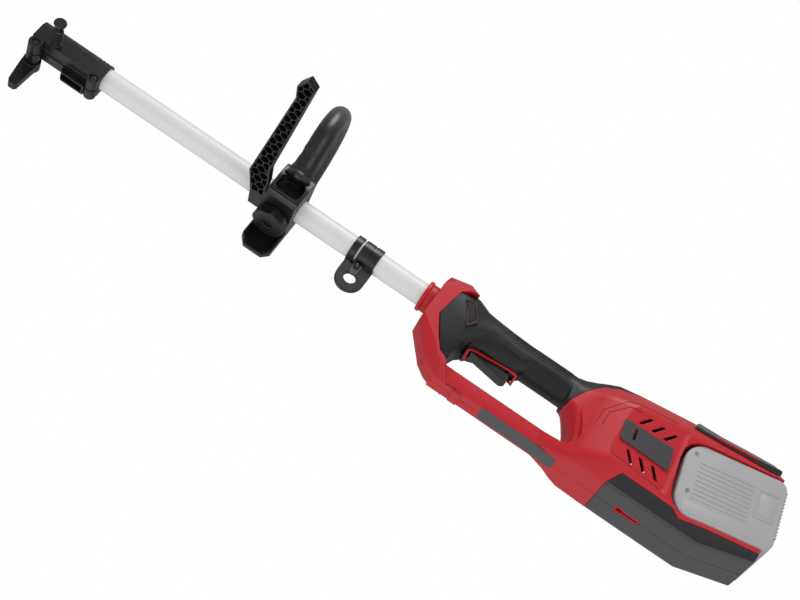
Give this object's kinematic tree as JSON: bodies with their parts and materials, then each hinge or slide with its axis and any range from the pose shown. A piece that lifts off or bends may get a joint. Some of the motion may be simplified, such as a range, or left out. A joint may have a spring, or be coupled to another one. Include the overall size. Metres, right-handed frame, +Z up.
{
  "type": "cordless brush cutter power unit",
  "caption": "Cordless garden power unit: rear housing with grip, trigger and battery, a straight tube with loop handle, barrier bar and hanger, and a front shaft coupler.",
  "frame": {"origin": "centre of the underside of the whole tool's box", "axes": "+X along the tube towards the coupler, +Y to the operator's left, +Z up"},
  "size_m": [0.9576, 0.2978, 0.2205],
  "materials": {
    "red_plastic": "moulded plastic, fine grain, half gloss",
    "soft_grip": "soft-touch moulding, matt",
    "black_plastic": "moulded plastic, fine grain",
    "dark_grey_plastic": "moulded plastic, fine grain",
    "light_grey_plastic": "moulded plastic, flat",
    "satin_tube": "satin drawn tube",
    "steel": "plated steel",
    "rubber": "matt",
    "copper_windings": "laminated stack with enamelled windings",
    "circuit_board": "lacquered board",
    "cell_wrap": null
  },
  "bodies": {
    "housing": {"housing_left": "red_plastic", "housing_right": "red_plastic", "bottom_cover_left": "dark_grey_plastic", "bottom_cover_right": "dark_grey_plastic", "keyhole_rim": "red_plastic", "grip_left": "soft_grip", "grip_right": "soft_grip", "trigger_surround": "red_plastic", "trigger_pin": "steel", "trigger_spring": "steel", "switch_module": "black_plastic", "switch_wires": "rubber", "tube_collar": "red_plastic", "shaft_tube": "satin_tube", "shaft_bushing_1": "black_plastic", "shaft_bushing_2": "black_plastic", "front_bearing": "steel", "motor_stator": "copper_windings", "motor_bracket": "satin_tube", "motor_bearing": "steel", "motor_cradle": "black_plastic", "controller_board": "circuit_board", "terminal_block": "black_plastic", "top_pad": "black_plastic", "side_plate": "dark_grey_plastic", "housing_screw_1": "steel", "housing_screw_2": "steel", "housing_screw_3": "steel", "housing_screw_4": "steel", "housing_screw_5": "steel", "coupler_left": "black_plastic", "coupler_right": "black_plastic", "stud_nut": "steel", "rear_clamp_screw": "steel", "pin_spring": "steel"},
    "drive_line": {"drive_shaft": "steel", "drive_socket": "steel", "shaft_coupling": "steel", "motor_rotor": "steel", "cooling_fan": "black_plastic"},
    "battery": {"battery_case": "light_grey_plastic", "battery_cells": "cell_wrap"},
    "battery_latch": {"battery_latch": "black_plastic"},
    "trigger": {"trigger": "black_plastic"},
    "lock_button": {"lock_button": "black_plastic"},
    "handle_liner": {"handle_liner": "rubber"},
    "loop_handle": {"loop_handle": "black_plastic", "clamp_saddle": "black_plastic", "clamp_nut": "steel", "barrier_bar": "black_plastic", "bar_screw_1": "steel", "bar_screw_2": "steel"},
    "handle_knob": {"handle_knob": "black_plastic", "knob_bolt": "steel"},
    "hanger": {"hanger_clamp": "black_plastic", "hanger_tongue": "dark_grey_plastic", "hanger_screw": "steel"},
    "coupler_knob": {"coupler_knob": "black_plastic", "knob_stud": "steel"},
    "push_pin": {"push_pin": "steel"}
  },
  "joints": [
    {"name": "drive_spin", "type": "hinge", "parent": "housing", "child": "drive_line", "pos_m": [-0.02912, -0.08512, 0.086], "axis": [1, 0, 0], "continuous": true},
    {"name": "battery_slide", "type": "slide", "parent": "housing", "child": "battery", "axis": [-0.9799, 0, 0.1994], "range_m": [0, 0.12]},
    {"name": "battery_latch_press", "type": "slide", "parent": "battery", "child": "battery_latch", "axis": [0.9799, 0, -0.1994], "range_m": [0, 0.003], "stiffness_N_per_m": 600},
    {"name": "trigger_pivot", "type": "hinge", "parent": "housing", "child": "trigger", "pos_m": [-0.11012, -0.08512, 0.063], "axis": [0, 1, 0], "range_deg": [0, 8], "stiffness_Nm_per_rad": 0.6, "springref_deg": -14.32, "deforming": ["trigger_spring"]},
    {"name": "lock_button_press", "type": "slide", "parent": "housing", "child": "lock_button", "axis": [0, -1, 0], "range_m": [0, 0.003], "stiffness_N_per_m": 500},
    {"name": "handle_slide", "type": "slide", "parent": "housing", "child": "handle_liner", "axis": [1, 0, 0], "range_m": [-0.05, 0.12]},
    {"name": "handle_swivel", "type": "hinge", "parent": "handle_liner", "child": "loop_handle", "pos_m": [0.15088, -0.08512, 0.086], "axis": [1, 0, 0], "range_deg": [-45, 45]},
    {"name": "handle_knob_turn", "type": "hinge", "parent": "loop_handle", "child": "handle_knob", "pos_m": [0.15088, -0.08512, 0.055], "axis": [0, 0, 1], "continuous": true},
    {"name": "hanger_slide", "type": "slide", "parent": "housing", "child": "hanger", "axis": [1, 0, 0], "range_m": [-0.03, 0.015]},
    {"name": "coupler_knob_turn", "type": "hinge", "parent": "housing", "child": "coupler_knob", "pos_m": [0.46888, -0.08512, 0.0655], "axis": [0, 1, 0], "continuous": true},
    {"name": "push_pin_press", "type": "slide", "parent": "housing", "child": "push_pin", "axis": [0, -1, 0], "range_m": [0, 0.008], "stiffness_N_per_m": 700, "deforming": ["pin_spring"]}
  ]
}
